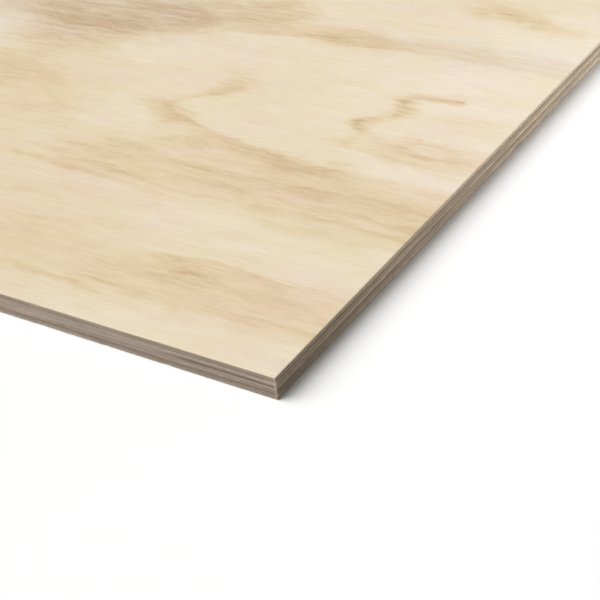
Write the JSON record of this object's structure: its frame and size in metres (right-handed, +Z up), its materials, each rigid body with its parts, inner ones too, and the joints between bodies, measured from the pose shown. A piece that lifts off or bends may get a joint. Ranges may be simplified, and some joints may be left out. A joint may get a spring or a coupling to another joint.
{
  "type": "plywood sheet",
  "caption": "Flat rectangular pine plywood sheet of cross-laminated veneers with square sawn edges, for building and joinery.",
  "frame": {"origin": "middle of the underside of the sheet", "axes": "+X along the length and the face grain, +Y across the width, +Z up towards the good face"},
  "size_m": [2.4, 1.2, 0.015],
  "materials": {
    "face_veneer": "sanded, unfinished, face grain along the length",
    "crossband_veneer": "sawn edge, grain across the sheet",
    "core_veneer": "sawn edge, grain along the sheet",
    "back_veneer": "sanded, unfinished, grain along the length"
  },
  "bodies": {
    "root": {"face_veneer": "face_veneer", "upper_crossband": "crossband_veneer", "core_veneer": "core_veneer", "lower_crossband": "crossband_veneer", "back_veneer": "back_veneer"}
  },
  "joints": []
}
